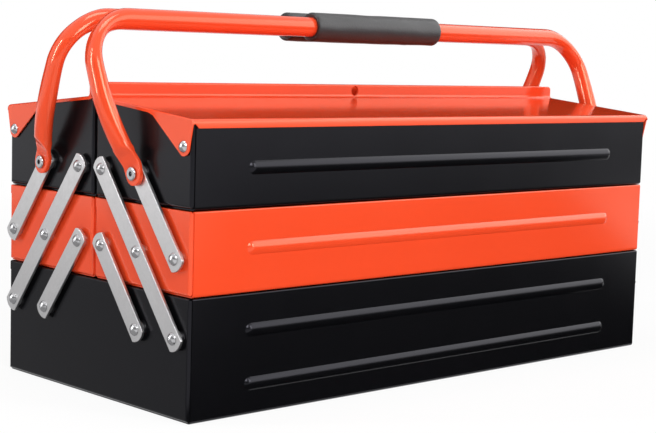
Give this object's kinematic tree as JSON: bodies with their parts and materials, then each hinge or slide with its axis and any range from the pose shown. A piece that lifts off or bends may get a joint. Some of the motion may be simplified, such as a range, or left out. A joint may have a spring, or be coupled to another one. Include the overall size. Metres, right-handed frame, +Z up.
{
  "type": "cantilever tool box",
  "caption": "Cantilever tool box with stacked steel trays that swing apart on riveted side links, hinged ridged lids and folding tubular carrying handles.",
  "frame": {"origin": "centre of the box on the surface it stands on", "axes": "+X along the length of the box, +Y across it towards the rear trays, +Z up"},
  "size_m": [0.4968, 0.2074, 0.2536],
  "materials": {
    "black_paint": "semi-gloss black paint on sheet steel",
    "orange_paint": "glossy orange paint on sheet and tube steel",
    "zinc": "bright zinc plated steel",
    "foam": "matt dark grey foam rubber"
  },
  "bodies": {
    "bottom_tray": {"bottom_tray_channel": "black_paint", "bottom_tray_left_end": "black_paint", "bottom_tray_right_end": "black_paint", "bottom_tray_rivets": "zinc", "bottom_tray_spacers": "zinc"},
    "front_long_links": {"front_left_long_link": "zinc", "front_right_long_link": "zinc"},
    "front_lower_links": {"front_left_lower_link": "zinc", "front_right_lower_link": "zinc"},
    "front_upper_links": {"front_left_upper_link": "zinc", "front_right_upper_link": "zinc"},
    "front_middle_tray": {"front_middle_tray_channel": "orange_paint", "front_middle_tray_left_end": "orange_paint", "front_middle_tray_right_end": "orange_paint", "front_middle_tray_rivets": "zinc", "front_middle_tray_spacers": "zinc"},
    "front_top_tray": {"front_top_tray_channel": "black_paint", "front_top_tray_left_end": "black_paint", "front_top_tray_right_end": "black_paint", "front_top_tray_rivets": "zinc", "front_top_tray_spacers": "zinc", "front_handle_rivets": "zinc", "front_lid_rivets": "zinc"},
    "front_lid": {"front_lid": "orange_paint"},
    "front_handle": {"front_handle_tube": "orange_paint", "front_grip": "foam"},
    "back_long_links": {"back_left_long_link": "zinc", "back_right_long_link": "zinc"},
    "back_lower_links": {"back_left_lower_link": "zinc", "back_right_lower_link": "zinc"},
    "back_upper_links": {"back_left_upper_link": "zinc", "back_right_upper_link": "zinc"},
    "back_middle_tray": {"back_middle_tray_channel": "orange_paint", "back_middle_tray_left_end": "orange_paint", "back_middle_tray_right_end": "orange_paint", "back_middle_tray_rivets": "zinc", "back_middle_tray_spacers": "zinc"},
    "back_top_tray": {"back_top_tray_channel": "black_paint", "back_top_tray_left_end": "black_paint", "back_top_tray_right_end": "black_paint", "back_top_tray_rivets": "zinc", "back_top_tray_spacers": "zinc", "back_handle_rivets": "zinc", "back_lid_rivets": "zinc"},
    "back_lid": {"back_lid": "orange_paint"},
    "back_handle": {"back_handle_tube": "orange_paint", "back_grip": "foam"}
  },
  "joints": [
    {"name": "front_swing", "type": "hinge", "parent": "bottom_tray", "child": "front_long_links", "pos_m": [0, -0.09, 0.0515], "axis": [1, 0, 0], "range_deg": [0, 77]},
    {"name": "front_middle_tray_level", "type": "hinge", "parent": "front_long_links", "child": "front_middle_tray", "pos_m": [0, -0.0515, 0.1], "axis": [1, 0, 0], "range_deg": [-77, 0]},
    {"name": "front_top_tray_level", "type": "hinge", "parent": "front_long_links", "child": "front_top_tray", "pos_m": [0, -0.013, 0.1485], "axis": [1, 0, 0], "range_deg": [-77, 0]},
    {"name": "front_lower_link_swing", "type": "hinge", "parent": "bottom_tray", "child": "front_lower_links", "pos_m": [0, -0.0515, 0.0515], "axis": [1, 0, 0], "range_deg": [0, 77]},
    {"name": "front_upper_link_swing", "type": "hinge", "parent": "front_middle_tray", "child": "front_upper_links", "pos_m": [0, -0.09, 0.1], "axis": [1, 0, 0], "range_deg": [0, 77]},
    {"name": "front_handle_fold", "type": "hinge", "parent": "front_top_tray", "child": "front_handle", "pos_m": [0, -0.0515, 0.1485], "axis": [1, 0, 0], "range_deg": [-1.2, 150]},
    {"name": "front_lid_hinge", "type": "hinge", "parent": "front_top_tray", "child": "front_lid", "pos_m": [0, -0.094, 0.1678], "axis": [1, 0, 0], "range_deg": [0, 100]},
    {"name": "back_swing", "type": "hinge", "parent": "bottom_tray", "child": "back_long_links", "pos_m": [0, 0.09, 0.0515], "axis": [-1, 0, 0], "range_deg": [0, 77]},
    {"name": "back_middle_tray_level", "type": "hinge", "parent": "back_long_links", "child": "back_middle_tray", "pos_m": [0, 0.0515, 0.1], "axis": [-1, 0, 0], "range_deg": [-77, 0]},
    {"name": "back_top_tray_level", "type": "hinge", "parent": "back_long_links", "child": "back_top_tray", "pos_m": [0, 0.013, 0.1485], "axis": [-1, 0, 0], "range_deg": [-77, 0]},
    {"name": "back_lower_link_swing", "type": "hinge", "parent": "bottom_tray", "child": "back_lower_links", "pos_m": [0, 0.0515, 0.0515], "axis": [-1, 0, 0], "range_deg": [0, 77]},
    {"name": "back_upper_link_swing", "type": "hinge", "parent": "back_middle_tray", "child": "back_upper_links", "pos_m": [0, 0.09, 0.1], "axis": [-1, 0, 0], "range_deg": [0, 77]},
    {"name": "back_handle_fold", "type": "hinge", "parent": "back_top_tray", "child": "back_handle", "pos_m": [0, 0.0515, 0.1485], "axis": [-1, 0, 0], "range_deg": [-1.2, 150]},
    {"name": "back_lid_hinge", "type": "hinge", "parent": "back_top_tray", "child": "back_lid", "pos_m": [0, 0.094, 0.1678], "axis": [-1, 0, 0], "range_deg": [0, 100]}
  ],
  "couplings": [
    {"joint": "front_middle_tray_level", "follows": "front_swing", "ratio": -1},
    {"joint": "front_top_tray_level", "follows": "front_swing", "ratio": -1},
    {"joint": "front_lower_link_swing", "follows": "front_swing", "ratio": 1},
    {"joint": "front_upper_link_swing", "follows": "front_swing", "ratio": 1},
    {"joint": "back_middle_tray_level", "follows": "back_swing", "ratio": -1},
    {"joint": "back_top_tray_level", "follows": "back_swing", "ratio": -1},
    {"joint": "back_lower_link_swing", "follows": "back_swing", "ratio": 1},
    {"joint": "back_upper_link_swing", "follows": "back_swing", "ratio": 1}
  ]
}
